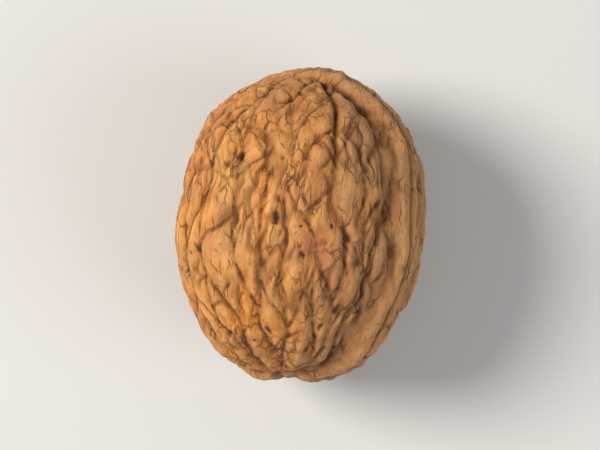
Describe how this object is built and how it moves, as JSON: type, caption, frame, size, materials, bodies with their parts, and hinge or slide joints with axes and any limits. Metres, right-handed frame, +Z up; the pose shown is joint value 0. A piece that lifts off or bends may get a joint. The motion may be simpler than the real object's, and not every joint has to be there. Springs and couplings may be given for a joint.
{
  "type": "walnut",
  "caption": "Whole walnut in its wrinkled shell, a blunt oval with a raised seam round it, lying on its side on a small flat spot.",
  "frame": {"origin": "middle of the small flat spot that the nut rests on, straight under its centre of mass", "axes": "+Z up from the surface it lies on, +Y along the nut's long axis towards its tip, +X towards the side where the seam's ridge shows from above"},
  "size_m": [0.0305, 0.0388, 0.0304],
  "materials": {
    "shell": "dry tan nutshell with darker furrows and pits, a paler seam ridge and a dull satin sheen on the high places"
  },
  "bodies": {
    "root": {"walnut": "shell"}
  },
  "joints": []
}
